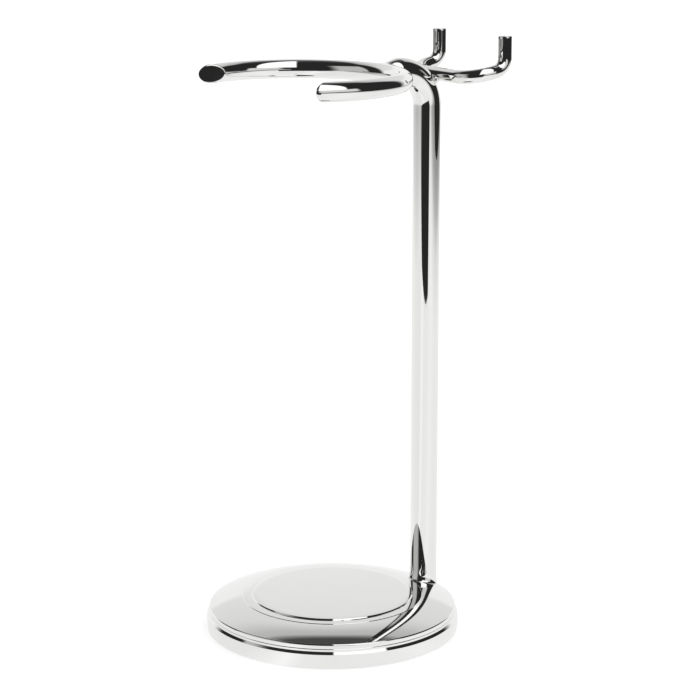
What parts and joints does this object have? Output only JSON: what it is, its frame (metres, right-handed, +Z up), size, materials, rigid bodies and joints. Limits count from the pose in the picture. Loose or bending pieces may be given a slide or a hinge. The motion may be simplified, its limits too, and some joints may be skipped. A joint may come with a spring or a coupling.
{
  "type": "shaving stand",
  "caption": "Chrome-plated shaving stand: weighted round base, bent post, open ring for a brush and a pronged fork for a razor.",
  "frame": {"origin": "middle of the base pad's underside, where the stand rests", "axes": "+Z up along the base's axis; +Y from the base's middle to the post; the brush ring opens towards -Y and the razor fork is behind the post"},
  "size_m": [0.0734, 0.0879, 0.1708],
  "materials": {
    "chrome_cover": "mirror-polished chrome plate over die-cast zinc",
    "chrome_post": "mirror-polished chrome plate over steel rod",
    "chrome_ring": "mirror-polished chrome plate over steel rod",
    "chrome_fork": "mirror-polished chrome plate over steel rod",
    "chrome_braze": "chrome plate over a brazed fillet",
    "cast_iron": "rough cast, painted black",
    "plated_steel": "bright zinc plate",
    "pad": "matt closed-cell foam"
  },
  "bodies": {
    "root": {"base_cover": "chrome_cover", "base_weight": "cast_iron", "base_pad": "pad", "post": "chrome_post", "post_screw": "plated_steel", "lock_washer": "plated_steel", "brush_ring": "chrome_ring", "ring_braze": "chrome_braze", "razor_fork": "chrome_fork", "fork_braze": "chrome_braze"}
  },
  "joints": []
}
